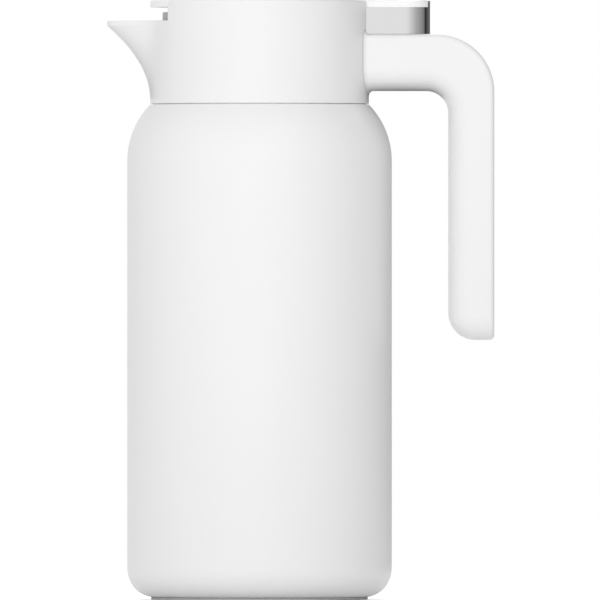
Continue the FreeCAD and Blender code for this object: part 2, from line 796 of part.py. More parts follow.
def make_stopper_body():
    pieces = [make_stopper_blank()]
    for side, along in both_sides(EAR_INNER, EAR_OUTER):
        pieces.append(block(
            f"ear_post_{side}", "2 * ear_radius", "ear_width",
            f"{PIN_HEIGHT} - {FLOOR_TOP} + floor_wall / 2",
            "pin_offset - ear_radius", along, f"{FLOOR_TOP} - floor_wall / 2",
        ))
        pieces.append(cylinder(
            f"ear_eye_{side}", "ear_radius", "ear_width", "pin_offset", along, PIN_HEIGHT, ALONG_Y,
        ))
    window_outer = "(cup_radius + cup_flare + overrun)"
    window_inner = "(sqrt((cup_radius - cup_wall)^2 - window_half^2) - overrun)"
    window = block(
        "pour_window", f"{window_outer} - {window_inner}", "2 * window_half",
        f"{SPOUT_TOP} - window_hide - {FLOOR_TOP} - window_sill",
        f"-{window_outer}", "-window_half", f"{FLOOR_TOP} + window_sill",
    )
    eye = cylinder(
        "ear_bore", "pin_radius + seat_clearance", f"2 * {EAR_OUTER} + 2 * overrun",
        "pin_offset", f"-{EAR_OUTER} - overrun", PIN_HEIGHT, ALONG_Y,
    )
    tools = [window, eye]
    count = int(worth("drain_count"))
    for number in range(count):
        turn = f"({number} * 360 / drain_count)"
        tools.append(cylinder(
            f"drain_hole_{number}", "drain_radius", "floor_wall + 2 * overrun",
            f"drain_pitch * cos{turn}", f"drain_pitch * sin{turn}", f"{FLOOR_UNDER} - overrun",
        ))
    return cut("stopper_body", joined("stopper_with_ears", pieces), tools)


def make_stopper_base():
    lip = "seat_radius + seat_lip"
    rim = f"{BARREL_BORE} - seat_clearance"
    return turned("stopper_base", [
        ("seat_radius", BARREL_UNDER),
        (rim, BARREL_UNDER),
        (rim, PLATE_TOP),
        (lip, PLATE_TOP),
        (lip, f"{PLATE_TOP} + seat_height"),
        ("seat_radius", f"{PLATE_TOP} + seat_height"),
    ])


LIP_FOOT_SHARES = (0, 0.5)
LIP_RISE_SHARE = 0.25


def make_stopper_gasket():
    """A ring in the barrel's groove, with two lips that reach for the mouth."""
    lip = "mouth_radius - free_clearance"
    inner = "barrel_radius - groove_depth + seat_clearance"
    height = "(groove_height - 2 * seat_clearance)"
    corners = [(inner, f"{GROOVE_UNDER} + seat_clearance")]
    for share in LIP_FOOT_SHARES:
        foot = f"{GROOVE_UNDER} + seat_clearance + {share} * {height}"
        corners.append(("barrel_radius", foot))
        corners.append((lip, f"{foot} + {LIP_RISE_SHARE} * {height}"))
    corners.append(("barrel_radius", f"{GROOVE_TOP} - seat_clearance"))
    corners.append((inner, f"{GROOVE_TOP} - seat_clearance"))
    return turned("stopper_gasket", corners)


def lid_screw_places():
    """The screws' places along the lid: two in the frame and two in the skirt."""
    return ("front_screw_place", "middle_screw_place", "rear_screw_place", "tip_screw_place")


def make_lid_screws():
    return grouped("lid_screws", [
        screw(
            f"lid_{across}", "lid_screw_radius", "skirt_roof + lid_screw_grip",
            across, "0", f"{LID_UNDER} - skirt_roof",
        )
        for across in lid_screw_places()
    ])


def lid_screw_hole(name, across, under, height, radius="lid_screw_radius"):
    return cylinder(name, f"{radius} + seat_clearance", height, across, "0", under)


TIP_START = "(lever_end - lever_tip)"


def nose_half(across):
    """Half the lever's width at a place in its round end."""
    return f"sqrt(lever_half^2 - ({across} - {NOSE_AXIS})^2)"


def make_lid_plate():
    """The flush top: a disc, a front tab that fills the collar's notch, and the thumb lever."""
    tab = "(notch_half - lid_gap)"
    root = "sqrt(lid_radius^2 - lever_half^2)"
    tab_start = f"-sqrt(lid_radius^2 - {tab}^2)"
    tab_end = f"-sqrt(collar_radius^2 - {tab}^2)"
    end_half = nose_half(TIP_START)
    body = padded("lid_blank", "XY_Plane", [
        (root, "-lever_half"),
        (NOSE_AXIS, "-lever_half", "lever_half", "left"),
        (TIP_START, f"-{end_half}"),
        (TIP_START, end_half, "lever_half", "left"),
        (NOSE_AXIS, "lever_half"),
        (root, "lever_half", "lid_radius", "left"),
        (tab_start, tab),
        (tab_end, tab, "collar_radius", "left"),
        (tab_end, f"-{tab}"),
        (tab_start, f"-{tab}", "lid_radius", "left"),
    ], "lid_thickness")
    rounded(body, "lid_edge", lambda edge: lies_at(edge, worth("lid_thickness")))
    place(body, up=LID_UNDER)
    thumb_arc = "((thumb_length^2 / 4 + thumb_depth^2) / (2 * thumb_depth))"
    groove = cylinder(
        "thumb_groove", thumb_arc, "2 * (lever_half + overrun)",
        "thumb_center", "-(lever_half + overrun)", f"{LID_TOP} + {thumb_arc} - thumb_depth", ALONG_Y,
    )
    holes = [
        lid_screw_hole(
            f"lid_hole_{across}", across, f"{LID_UNDER} - overrun",
            "overrun + lid_screw_grip + seat_clearance",
        )
        for across in lid_screw_places()
    ]
    return cut("lid_plate", body, [groove] + holes)


def make_thumb_skirt():
    """A thin plated shell under the lever, open below, with a bright tip behind the plate's end."""
    outer = stadium("skirt_outer", "lever_half", "skirt_start", SKIRT_UNDER, "skirt_height")
    inner = stadium(
        "skirt_inner", "(lever_half - skirt_wall)", "skirt_start + skirt_wall",
        f"{SKIRT_UNDER} - overrun", "skirt_height - skirt_roof + overrun",
    )
    tip = f"({TIP_START} + seat_clearance)"
    nose = padded("skirt_tip", "XY_Plane", [
        (tip, f"-{nose_half(tip)}", "lever_half", "left"),
        (tip, nose_half(tip)),
    ], "skirt_roof + lid_thickness - lid_rise")
    place(nose, up=f"{LID_UNDER} - skirt_roof")
    holes = [
        lid_screw_hole(
            f"skirt_hole_{across}", across, f"{LID_UNDER} - skirt_roof - overrun", "skirt_roof + 2 * overrun"
        )
        for across in lid_screw_places()[2:]
    ]
    return cut("thumb_skirt", joined("skirt_with_tip", [outer, nose]), [inner] + holes)


def make_lever_frame():
    """The lid's inner frame: a bar with the pin's lug and two legs whose feet reach under the button."""
    bar_under = f"{LID_UNDER} - frame_height"
    pieces = [
        block(
            "frame_bar", "frame_front + pin_offset + lug_radius", "2 * frame_half", "frame_height",
            "-frame_front", "-frame_half", bar_under,
        ),
        cylinder(
            "frame_lug", "lug_radius", "2 * frame_half", "pin_offset", "-frame_half", PIN_HEIGHT, ALONG_Y,
        ),
    ]
    foot_inner = "stem_radius + 2 * fork_clearance"
    for side, along in both_sides("frame_half - fork_leg", "frame_half"):
        pieces.append(block(
            f"frame_leg_{side}", "2 * fork_half", "fork_leg", "fork_drop - frame_height + overrun",
            "-fork_half", along, FORK_UNDER,
        ))
    for side, along in both_sides(foot_inner, "frame_half"):
        pieces.append(block(
            f"frame_foot_{side}", "2 * fork_half", f"frame_half - ({foot_inner})", "fork_height",
            "-fork_half", along, FORK_UNDER,
        ))
    tools = [cylinder(
        "frame_bore", "pin_radius + pin_clearance", "2 * (frame_half + overrun)",
        "pin_offset", "-(frame_half + overrun)", PIN_HEIGHT, ALONG_Y,
    )]
    for across in lid_screw_places()[:2]:
        tools.append(lid_screw_hole(
            f"frame_hole_{across}", across, f"{bar_under} - overrun", "frame_height + 2 * overrun"
        ))
        tools.append(lid_screw_hole(
            f"frame_seat_{across}", across, f"{bar_under} - overrun",
            "frame_height - skirt_roof + overrun", "screw_head_radius",
        ))
    return cut("lever_frame", joined("frame_blank", pieces), tools)


def make_valve_head():
    spigot = "valve_seal_bore - seat_clearance"
    bore = "stem_radius + seat_clearance"
    bore_floor = f"{HEAD_TOP} - head_bore"
    return turned("valve_head", [
        ("0", SEAL_UNDER),
        (spigot, SEAL_UNDER),
        (spigot, HEAD_UNDER),
        ("head_radius", HEAD_UNDER),
        ("head_radius", HEAD_TOP),
        (bore, HEAD_TOP),
        (bore, bore_floor),
        ("0", bore_floor),
    ])


def make_stem_button():
    bore = "stem_radius + seat_clearance"
    return turned("stem_button", [
        (bore, BUTTON_UNDER),
        ("button_radius", BUTTON_UNDER),
        ("button_radius", f"{BUTTON_TOP} - button_edge", "button_edge", "left"),
        ("button_radius - button_edge", BUTTON_TOP),
        ("0", BUTTON_TOP),
        ("0", f"{BUTTON_UNDER} + button_bore"),
        (bore, f"{BUTTON_UNDER} + button_bore"),
    ])


def tangent_arc(start, heading, end):
    """The arc that leaves start along a heading and ends at end."""
    chord = end - start
    line = Vector(chord).normalize()
    side = heading - line * heading.dot(line)
    half_turn = math.acos(max(-1, min(1, heading.dot(line))))
    bulge = chord.Length / 2 * math.tan(half_turn / 2)
    return Part.Arc(start, start + chord * 0.5 + side.normalize() * bulge, end).toShape()


QUARTERS = 4


def make_valve_spring():
    """One unbroken wire: each quarter turn of the coil is two arcs that share a tangent."""
    radius, wire = worth("spring_radius"), worth("spring_wire")
    low = worth(f"{HEAD_TOP} + spring_clearance + spring_wire / 2")
    high = worth(f"{FLOOR_UNDER} - spring_clearance - spring_wire / 2")
    steps = int(worth("spring_turns")) * QUARTERS
    pitch = (high - low) / worth("spring_turns")
    rise = pitch / (2 * math.pi)
    points, headings = [], []
    for step in range(steps + 1):
        turn = 2 * math.pi * step / QUARTERS
        across, along = radius * math.cos(turn), radius * math.sin(turn)
        points.append(Vector(across, along, low + rise * turn))
        headings.append(Vector(-along, across, rise).normalize())
    edges = []
    for step in range(steps):
        start, end = points[step], points[step + 1]
        leave, arrive = headings[step], headings[step + 1]
        chord, turn = end - start, 2 * (1 - leave.dot(arrive))
        along = chord.dot(leave + arrive)
        reach = (math.sqrt(along**2 + turn * chord.dot(chord)) - along) / turn
        joint = (start + end + (leave - arrive) * reach) * 0.5
        edges.append(tangent_arc(start, leave, joint))
        edges.append(tangent_arc(end, arrive * -1, joint))
    path = Part.Wire(Part.__sortEdges__(edges))
    section = Part.Wire(Part.Circle(points[0], headings[0], wire / 2).toShape())
    pipe = Part.BRepOffsetAPI.MakePipeShell(path)
    pipe.add(section)
    pipe.build()
    pipe.makeSolid()
    piece = doc.addObject("Part::Feature", "valve_spring")
    piece.Shape = pipe.shape()
    gap = min((above - below).Length for below, above in zip(points, points[QUARTERS:])) - wire
    print(f"valve spring: least gap between turns {gap:.2f} mm, wire length {path.Length:.1f} mm")
    return piece


NODES = [
    make_outer_shell(),
    make_inner_liner(),
    ring("base_disc", "port_radius", f"{BASE_OPENING} + base_lap", BASE_UNDER, BASE_TOP),
    make_port_seal(),
    make_getter(),
    ring(
        "reflector_foil", f"{LINER_RADIUS} + foil_clearance", f"{LINER_RADIUS} + foil_clearance + foil_wall",
        f"{LINER_FLOOR} + liner_corner + foil_margin", f"{SHOULDER_START} - foil_margin",
    ),
    make_foot_ring(),
    ring(
        "neck_ring", "neck_radius + seat_clearance", "neck_ring_radius",
        "seam_height", "seam_height + neck_ring_height",
    ),
    ring("neck_gasket", "mouth_radius + liner_wall", "neck_radius", MOUTH_TOP, LEDGE_UNDER),
    make_spout_collar(),
    make_handle(),
    make_handle_cover(),
    make_handle_screws(),
    make_stopper_body(),
    make_stopper_base(),
    ring(
        "stopper_foam", "tube_radius + tube_wall + foam_clearance", f"{BARREL_BORE} - foam_clearance",
        f"{PLATE_TOP} + foam_clearance", f"{FLOOR_UNDER} - foam_clearance",
    ),
    make_stopper_gasket(),
    ring(
        "rim_seal", "cup_radius - rim_seal_width", "cup_radius",
        f"{LEDGE_TOP} + rim_seal_gap", FLOOR_UNDER,
    ),
    cylinder(
        "hinge_pin", "pin_radius", f"2 * {EAR_OUTER}", "pin_offset", f"-{EAR_OUTER}", PIN_HEIGHT, ALONG_Y,
    ),
    make_lid_plate(),
    make_thumb_skirt(),
    make_lever_frame(),
    make_lid_screws(),
    cylinder(
        "valve_stem", "stem_radius", f"{BUTTON_UNDER} + button_bore - {HEAD_TOP} + head_bore",
        up=f"{HEAD_TOP} - head_bore",
    ),
    make_stem_button(),
    make_valve_head(),
    ring("valve_seal", "valve_seal_bore", "head_radius", SEAL_UNDER, HEAD_UNDER),
    make_valve_spring(),
]

doc.recompute()
failed = [item.Name for item in doc.Objects if {"Invalid", "Error"} & set(item.State)]
if failed:
    raise RuntimeError(f"failed objects: {failed}")
for node in NODES:
    if node.Shape.isNull() or not node.Shape.isValid():
        raise RuntimeError(f"bad shape: {node.Name}")
    node.Label = node.Name

os.makedirs("parts", exist_ok=True)
for node in NODES:
    node.Shape.exportStep(f"parts/{node.Label}.step")
    print(node.Label, len(node.Shape.Solids), round(node.Shape.Volume, 1))
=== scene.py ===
# %% [markdown]
# # An insulated kettle, dressed for its picture
#
# The kettle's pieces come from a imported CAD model, at their real size and in their real places. This
# lesson gives every surface the finish of the real thing, winds the one piece that is better made here,
# the valve spring, and then lights and frames the kettle the way a catalogue shows a white jug.

# %% Load the frame
import math

import bpy
from mathutils import Euler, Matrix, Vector


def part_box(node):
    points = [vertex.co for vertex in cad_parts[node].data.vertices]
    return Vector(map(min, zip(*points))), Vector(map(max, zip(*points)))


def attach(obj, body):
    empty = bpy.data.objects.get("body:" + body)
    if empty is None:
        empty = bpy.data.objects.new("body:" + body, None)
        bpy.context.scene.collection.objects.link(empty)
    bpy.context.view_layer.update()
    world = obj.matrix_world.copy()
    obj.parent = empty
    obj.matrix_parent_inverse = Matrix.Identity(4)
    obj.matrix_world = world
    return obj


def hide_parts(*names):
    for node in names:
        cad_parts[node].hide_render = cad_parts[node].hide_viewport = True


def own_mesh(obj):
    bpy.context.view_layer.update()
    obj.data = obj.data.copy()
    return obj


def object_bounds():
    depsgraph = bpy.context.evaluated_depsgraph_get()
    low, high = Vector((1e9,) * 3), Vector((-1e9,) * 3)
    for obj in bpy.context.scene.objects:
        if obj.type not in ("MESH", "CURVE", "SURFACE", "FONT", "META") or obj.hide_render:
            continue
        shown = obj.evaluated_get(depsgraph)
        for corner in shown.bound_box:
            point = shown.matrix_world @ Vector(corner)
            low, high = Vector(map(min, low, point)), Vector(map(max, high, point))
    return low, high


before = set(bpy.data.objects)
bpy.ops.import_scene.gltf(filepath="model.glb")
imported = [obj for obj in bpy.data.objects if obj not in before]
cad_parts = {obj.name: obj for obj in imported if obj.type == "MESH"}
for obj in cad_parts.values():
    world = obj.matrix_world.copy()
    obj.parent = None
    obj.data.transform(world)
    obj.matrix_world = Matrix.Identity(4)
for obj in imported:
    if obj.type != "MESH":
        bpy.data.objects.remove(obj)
cad_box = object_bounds()
MM = 0.001

# %% [markdown]
# ## Colours and sizes
#
# Paint charts and photographs give colours as sRGB codes, but a shader works in linear light, so one
# function turns a code into the linear colour that a socket takes. Patterns are thought of in
# millimetres, while a texture's scale counts repeats in a metre, so another function turns one into the
# other.

# %% Colours and sizes


def hex_colour(code):
    """The linear colour of an sRGB code such as F2F2F2."""
    levels = [int(code[start:start + 2], 16) / 255 for start in (0, 2, 4)]
    linear = [level / 12.92 if level <= 0.04045 else ((level + 0.055) / 1.055) ** 2.4 for level in levels]
    return (*linear, 1)


def per_mm(size):
    """The texture scale that makes a pattern's features about this many millimetres wide."""
    return 1 / (size * MM)


print("mid grey is", [round(level, 3) for level in hex_colour("BCBCBC")])

# %% [markdown]
# ## Building a material
#
# A material is a small tree of nodes. Every node is added in the same way: make it, set what it is, then
# give each input a value or a link from another node. One helper does that, so the cells below read as a
# list of what each finish is made of. A finished material goes into the slot that the CAD node already
# has, because the node's own mesh stays untouched.

# %% One helper for nodes, and one to dress the CAD nodes


def add_node(tree, kind, inputs=None, **settings):
    """Add a shader node. Each input is a value for that socket, or another node's socket to link to it."""
    node = tree.nodes.new(f"ShaderNode{kind}")
    for name, value in settings.items():
        setattr(node, name, value)
    for socket, value in (inputs or {}).items():
        if isinstance(value, bpy.types.NodeSocket):
            tree.links.new(value, node.inputs[socket])
        else:
            node.inputs[socket].default_value = value
    return node


def new_material(name):
    """An empty material, and the socket that gives a point's place on the kettle in metres."""
    material = bpy.data.materials.new(name)
    material.use_nodes = True
    material.node_tree.nodes.clear()
    return material, add_node(material.node_tree, "TexCoord").outputs["Object"]


def dress(material, *names):
    """Put a finish on CAD nodes."""
    for name in names:
        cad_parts[name].material_slots[0].material = material
    print(material.name, "on", ", ".join(names))


# %% [markdown]
# ## Painted and moulded skins
#
# Paint, plastic and rubber look alike in one way: an opaque colour under a thin clear surface. What tells
# them apart is how fine and how deep the surface's grain is, how sharp its gloss is, and how even its
# colour is. They could each have a tree of their own, but one function with those four sizes keeps them
# honest: each is then described by numbers that can be measured on a real sample.

# %% A coloured skin

# Nearly all of a noise lies between these two levels
NOISE_LOW = 0.3
NOISE_HIGH = 0.7
# How many finer layers each noise has
PATCH_DETAIL = 3
GRAIN_DETAIL = 1
BEVEL_SAMPLES = 4


def coloured_skin(name, colours, patch, grain, depth, gloss, ior, edge=0):
    """An opaque skin: patches of two close colours, and a grain that stands up and scatters the gloss.

    patch and grain are widths in mm, depth is the grain's height in mm, gloss is the range of roughness,
    and edge is the radius in mm that the piece's sharp edges are softened to.
    """
    material, place = new_material(name)
    tree = material.node_tree
    patches = add_node(
        tree, "TexNoise", {"Vector": place, "Scale": per_mm(patch), "Detail": PATCH_DETAIL},
    )
    colour = add_node(
        tree, "Mix",
        {0: patches.outputs["Fac"], 6: hex_colour(colours[0]), 7: hex_colour(colours[1])},
        data_type="RGBA",
    )
    grains = add_node(
        tree, "TexNoise", {"Vector": place, "Scale": per_mm(grain), "Detail": GRAIN_DETAIL},
    )
    roughness = add_node(tree, "MapRange", {
        "Value": grains.outputs["Fac"], "From Min": NOISE_LOW, "From Max": NOISE_HIGH,
        "To Min": gloss[0], "To Max": gloss[1],
    })
    relief = {"Height": grains.outputs["Fac"], "Distance": depth * MM}
    if edge:
        soft_edge = add_node(tree, "Bevel", {"Radius": edge * MM}, samples=BEVEL_SAMPLES)
        relief["Normal"] = soft_edge.outputs["Normal"]
    bump = add_node(tree, "Bump", relief)
    shader = add_node(tree, "BsdfPrincipled", {
        "Base Color": colour.outputs[2], "Roughness": roughness.outputs["Result"],
        "Normal": bump.outputs["Normal"], "IOR": ior,
    })
    add_node(tree, "OutputMaterial", {"Surface": shader.outputs["BSDF"]})
    return material


print("skins are ready to mix")

# %% [markdown]
# ## The jacket: powder coat on steel
#
# The body is a steel jacket with a white powder coat. Powder melts in the oven and never flows quite
# level, which leaves the faint ripple called orange peel: waves of a millimetre or two, only some
# thousandths of a millimetre high. It breaks up reflections, so the coat looks satin and the light rolls
# softly round the body.

# %% Powder coat

powder_coat = coloured_skin(
    "white_powder_coat_on_steel", ("F3F3F3", "F1F1F1"), patch=40, grain=1.8, depth=0.006,
    gloss=(0.34, 0.44), ior=1.5,
)
dress(powder_coat, "outer_shell")

# %% [markdown]
# ## Collar, handle and lid: moulded polypropylene
#
# The collar with its spout, the handle and the lid are moulded in white polypropylene. The mould is spark
# eroded, which gives the plastic a fine even grain of about a third of a millimetre. That is finer than a
# pixel of the picture, so it is drawn twice as coarse. Mould edges are never quite sharp: a bevel of a
# fifth of a millimetre in the shading catches the thin light line that such an edge has. The lid's mould
# is polished instead, so the lid is a little glossier, and its colour is painted a little whiter than the
# same plastic elsewhere, as painted sheen for the bright strip along its top. A second coat of clear
# varnish over the same finish would make it glossier too, but a plain moulding has none.

# %% White polypropylene

white_plastic = coloured_skin(
    "white_polypropylene_moulded", ("F2F2F2", "F0F0F0"), patch=25, grain=0.7, depth=0.003,
    gloss=(0.3, 0.4), ior=1.49, edge=0.2,
)
dress(white_plastic, "spout_collar", "handle", "handle_cover")
# The lid's colours are whiter than the collar's: painted sheen for the lid's bright top strip.
lid_plastic_painted_whiter = coloured_skin(
    "white_polypropylene_polished_painted_whiter", ("FBFBFB", "F9F9F9"), patch=25, grain=0.7, depth=0.001,
    gloss=(0.16, 0.24), ior=1.49, edge=0.2,
)
dress(lid_plastic_painted_whiter, "lid_plate")

# %% [markdown]
# ## Stopper, frame and valve: grey polypropylene
#
# What sits in the mouth is moulded in grey, where tea stains show less. The same plastic, the same grain;
# a little more uneven in colour, as pigment never mixes quite evenly into a small moulding.

# %% Grey polypropylene

grey_plastic = coloured_skin(
    "grey_polypropylene_moulded", ("C6C6C6", "C0C0C0"), patch=9, grain=0.7, depth=0.003,
    gloss=(0.42, 0.54), ior=1.49, edge=0.2,
)
dress(grey_plastic, "stopper_body", "stopper_base", "lever_frame", "stem_button", "valve_head")

# %% [markdown]
# ## Seals and foot: silicone rubber
#
# Silicone is soft and matt. It scatters light near its surface, holds a film of dust, and comes out of
# the mould with a dry, slightly chalky grain, so its gloss is broad and its colour is cloudy.

# %% Grey silicone

silicone = coloured_skin(
    "grey_silicone_rubber", ("C6C6C6", "C0C0C0"), patch=4, grain=0.5, depth=0.006,
    gloss=(0.62, 0.8), ior=1.41,
)
dress(silicone, "foot_ring", "neck_gasket", "stopper_gasket", "rim_seal", "valve_seal")

# %% [markdown]
# ## Stopper filling: foam
#
# The stopper is filled with closed-cell foam, the colour of cream. It is all cells, so a cell pattern
# makes both its colour and its relief: pale walls, and a floor in each cell painted darker as painted
# shade.

# %% Foam

# Width of a cell in mm, and how deep it is
CELL = 0.9
CELL_DEPTH = 0.15 * MM
FOAM_ROUGHNESS = 0.9

foam, place = new_material("cream_insulating_foam")
tree = foam.node_tree
cells = add_node(tree, "TexVoronoi", {"Vector": place, "Scale": per_mm(CELL)})
# Darker towards the middle of each cell, where the relief is lowest: painted shade in the cell's hollow.
colour = add_node(
    tree, "Mix", {0: cells.outputs["Distance"], 6: hex_colour("D9CDAE"), 7: hex_colour("EFE6CE")},
    data_type="RGBA",
)
relief = add_node(tree, "Bump", {"Height": cells.outputs["Distance"], "Distance": CELL_DEPTH})
shader = add_node(tree, "BsdfPrincipled", {
    "Base Color": colour.outputs[2], "Normal": relief.outputs["Normal"], "Roughness": FOAM_ROUGHNESS,
})
add_node(tree, "OutputMaterial", {"Surface": shader.outputs["BSDF"]})
dress(foam, "stopper_foam")

# %% [markdown]
# ## Thumb skirt: chrome plate
#
# The bright skirt under the thumb lever is moulded plastic with a mirror of chrome on it. A plated part
# repeats whatever stands round it, so most of its look comes from the room. The plate itself is only a
# plain light grey, very smooth, with the haze of fine wiping marks that run along it: the marks are drawn
# by stretching a noise along the lever.

# %% Chrome plate

# Width of a mark in mm, how much slower it changes along the lever, and the range of roughness
WIPE_WIDTH = 0.4
WIPE_STRETCH = 0.04
WIPE_DETAIL = 2
HAZE = (0.03, 0.07)

chrome, place = new_material("chrome_plate_on_plastic")
tree = chrome.node_tree
along = add_node(tree, "Mapping", {"Vector": place, "Scale": (WIPE_STRETCH, 1, 1)})
wiping = add_node(
    tree, "TexNoise",
    {"Vector": along.outputs["Vector"], "Scale": per_mm(WIPE_WIDTH), "Detail": WIPE_DETAIL},
)
haze = add_node(tree, "MapRange", {
    "Value": wiping.outputs["Fac"], "From Min": NOISE_LOW, "From Max": NOISE_HIGH,
    "To Min": HAZE[0], "To Max": HAZE[1],
})
tint = add_node(
    tree, "Mix", {0: wiping.outputs["Fac"], 6: hex_colour("DFDFDF"), 7: hex_colour("DDDDDD")},
    data_type="RGBA",
)
shader = add_node(tree, "BsdfPrincipled", {
    "Base Color": tint.outputs[2], "Roughness": haze.outputs["Result"], "Metallic": 1,
})
add_node(tree, "OutputMaterial", {"Surface": shader.outputs["BSDF"]})
dress(chrome, "thumb_skirt")

# %% [markdown]
# ## Flask, base, pins and screws: stainless steel
#
# The flask is drawn and spun, the pins are turned and the base disc is brushed while it rotates, so the
# fine lines on all of them run round an axis. Distance from the axis plus height changes across such
# lines and stays the same along them, on a wall as well as on a flat disc, so that one number drives the
# whole pattern. A little noise round the circle keeps the lines from closing into perfect rings. The axis
# is the kettle's own, upright one for every piece, which is a simplification for the hinge pin and the
# screws: they have axes of their own.

# %% Turned steel

# How much slower the lines change along their length than across, and how deep they are
SWAY = 0.02
LINE_DEPTH = 0.002 * MM
LINE_DETAIL = 3


def turned_steel(name, colours, line, gloss):
    """Steel with lines round an upright axis, line mm wide. gloss is the range of roughness."""
    material, place = new_material(name)
    tree = material.node_tree
    flat = add_node(tree, "VectorMath", {0: place, 1: (1, 1, 0)}, operation="MULTIPLY")
    radius = add_node(tree, "VectorMath", {0: flat.outputs["Vector"]}, operation="LENGTH")
    height = add_node(tree, "SeparateXYZ", {"Vector": place}).outputs["Z"]
    across = add_node(tree, "Math", {0: radius.outputs["Value"], 1: height}, operation="ADD")
    sway = add_node(tree, "Mapping", {"Vector": place, "Scale": (SWAY, SWAY, SWAY)})
    lines = add_node(
        tree, "TexNoise",
        {
            "Vector": sway.outputs["Vector"], "W": across.outputs["Value"],
            "Scale": per_mm(line), "Detail": LINE_DETAIL,
        },
        noise_dimensions="4D",
    )
    colour = add_node(
        tree, "Mix",
        {0: lines.outputs["Fac"], 6: hex_colour(colours[0]), 7: hex_colour(colours[1])}, data_type="RGBA",
    )
    roughness = add_node(tree, "MapRange", {
        "Value": lines.outputs["Fac"], "From Min": NOISE_LOW, "From Max": NOISE_HIGH,
        "To Min": gloss[0], "To Max": gloss[1],
    })
    bump = add_node(tree, "Bump", {"Height": lines.outputs["Fac"], "Distance": LINE_DEPTH})
    shader = add_node(tree, "BsdfPrincipled", {
        "Base Color": colour.outputs[2], "Roughness": roughness.outputs["Result"],
        "Normal": bump.outputs["Normal"], "Metallic": 1,
    })
    add_node(tree, "OutputMaterial", {"Surface": shader.outputs["BSDF"]})
    return material


flask_steel = turned_steel("brushed_stainless_steel", ("C6C5C2", "D2D1CE"), line=0.35, gloss=(0.24, 0.36))
dress(flask_steel, "inner_liner", "base_disc", "neck_ring")
pin_steel = turned_steel("ground_stainless_rod", ("C9C9C8", "D4D4D3"), line=0.15, gloss=(0.16, 0.26))
dress(pin_steel, "hinge_pin", "valve_stem")
screw_steel = turned_steel("stainless_screw_steel", ("B9B9B8", "C8C8C7"), line=0.2, gloss=(0.28, 0.4))
dress(screw_steel, "handle_screws", "lid_screws")
spring_steel = turned_steel("drawn_spring_wire", ("BFBFBD", "CDCDCB"), line=0.1, gloss=(0.22, 0.34))

# %% [markdown]
# ## Hidden metals: foil, getter and solder
#
# Inside the vacuum the flask is wrapped in bright foil, and a tablet of dark sintered metal soaks up the
# last gas. Under the base a bead of solder closes the port. All three are metals that were never
# finished: foil is creased, the tablet is a bed of grains and the bead froze with a wrinkled skin. A cell
# or noise pattern of the right size, as relief and as a change of gloss, tells them apart.

# %% Unfinished metals


def raw_metal(name, colours, size, depth, gloss, texture):
    """A bare metal whose skin rises by depth mm over size mm, and changes colour and gloss with it."""
    material, place = new_material(name)
    tree = material.node_tree
    pattern = add_node(tree, texture, {"Vector": place, "Scale": per_mm(size)}).outputs[0]
    colour = add_node(
        tree, "Mix",
        {0: pattern, 6: hex_colour(colours[0]), 7: hex_colour(colours[1])}, data_type="RGBA",
    )
    roughness = add_node(tree, "MapRange", {"Value": pattern, "To Min": gloss[0], "To Max": gloss[1]})
    bump = add_node(tree, "Bump", {"Height": pattern, "Distance": depth * MM})
    shader = add_node(tree, "BsdfPrincipled", {
        "Base Color": colour.outputs[2], "Roughness": roughness.outputs["Result"],
        "Normal": bump.outputs["Normal"], "Metallic": 1,
    })
    add_node(tree, "OutputMaterial", {"Surface": shader.outputs["BSDF"]})
    return material


foil = raw_metal(
    "creased_aluminium_foil", ("DEDEE0", "E8E8EA"), size=14, depth=0.3,
    gloss=(0.12, 0.3), texture="TexVoronoi",
)
dress(foil, "reflector_foil")
getter = raw_metal(
    "sintered_getter_metal", ("5E5E61", "7C7C7F"), size=0.6, depth=0.1,
    gloss=(0.5, 0.8), texture="TexVoronoi",
)
dress(getter, "vacuum_getter")
solder = raw_metal(
    "frozen_solder_bead", ("A9A9A7", "BEBEBC"), size=1.2, depth=0.06,
    gloss=(0.35, 0.6), texture="TexNoise",
)
dress(solder, "vacuum_port_seal")

# %% [markdown]
# ## The valve spring
#
# A closing spring sits round the valve's stem: one wire, wound right-handed. A curve with a round bevel
# would do, but the Screw modifier is closer to how a spring is coiled: a circle, the wire's section, is
# drawn round the axis while it climbs by the pitch. Every size is read from the space that the CAD spring
# fills. When the valve rises the spring is squeezed against the stopper's floor; here it is wound at one
# even pitch.

# %% Wind the spring

WIRE = 1.0 * MM
TURNS = 6
SECTION_SIDES = 16
STEPS = 48
WELD = WIRE / 1000
SMOOTH_ANGLE = math.radians(40)
low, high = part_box("valve_spring")
coil_radius = (high.x - low.x - WIRE) / 2
pitch = (high.z - low.z - WIRE) / TURNS

bpy.ops.object.select_all(action="DESELECT")
bpy.ops.mesh.primitive_circle_add(
    vertices=SECTION_SIDES, radius=WIRE / 2, location=(coil_radius, 0, low.z + WIRE / 2),
    rotation=(math.radians(90), 0, 0),
)
spring = bpy.context.object
spring.name = "valve_spring_wire"
bpy.ops.object.transform_apply(location=True, rotation=True, scale=True)
winding = spring.modifiers.new("winding", "SCREW")
winding.axis = "Z"
winding.screw_offset = pitch
winding.iterations = TURNS
winding.steps = STEPS
winding.render_steps = STEPS
bpy.ops.object.modifier_apply(modifier=winding.name)

bpy.ops.object.mode_set(mode="EDIT")
bpy.ops.mesh.select_all(action="SELECT")
bpy.ops.mesh.remove_doubles(threshold=WELD)
bpy.ops.mesh.fill_holes(sides=SECTION_SIDES)
bpy.ops.mesh.normals_make_consistent(inside=False)
bpy.ops.object.mode_set(mode="OBJECT")
bpy.ops.object.shade_smooth_by_angle(angle=SMOOTH_ANGLE)
spring.data.materials.append(spring_steel)

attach(spring, "stopper")
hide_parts("valve_spring")
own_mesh(spring)
print("spring:", len(spring.data.polygons), "faces, pitch", round(pitch / MM, 2), "mm")

